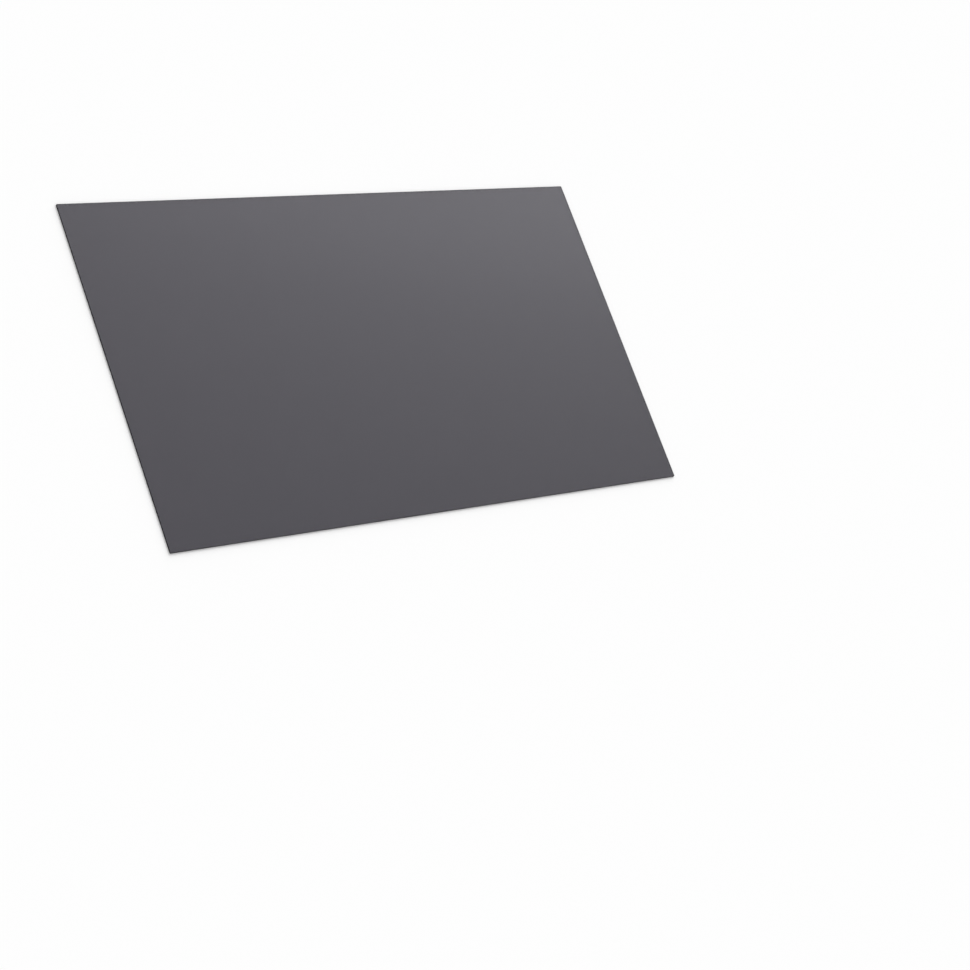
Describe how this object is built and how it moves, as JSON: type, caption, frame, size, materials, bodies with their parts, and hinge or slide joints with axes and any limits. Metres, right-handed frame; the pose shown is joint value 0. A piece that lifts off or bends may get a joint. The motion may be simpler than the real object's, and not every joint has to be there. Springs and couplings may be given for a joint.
{
  "type": "laptop privacy filter",
  "caption": "Flat rectangular sheet of dark see-through louvre film that slides in front of a laptop's screen and hides its picture from the sides.",
  "frame": {"origin": "the middle of the screen-side face, on which the sheet lies", "axes": "+X along the sheet's width, +Y towards its top edge, +Z out of the face that the user looks at"},
  "size_m": [0.345, 0.194, 0.0008],
  "materials": {
    "louvre_film": "satin"
  },
  "bodies": {
    "root": {"filter_sheet": "louvre_film"}
  },
  "joints": []
}
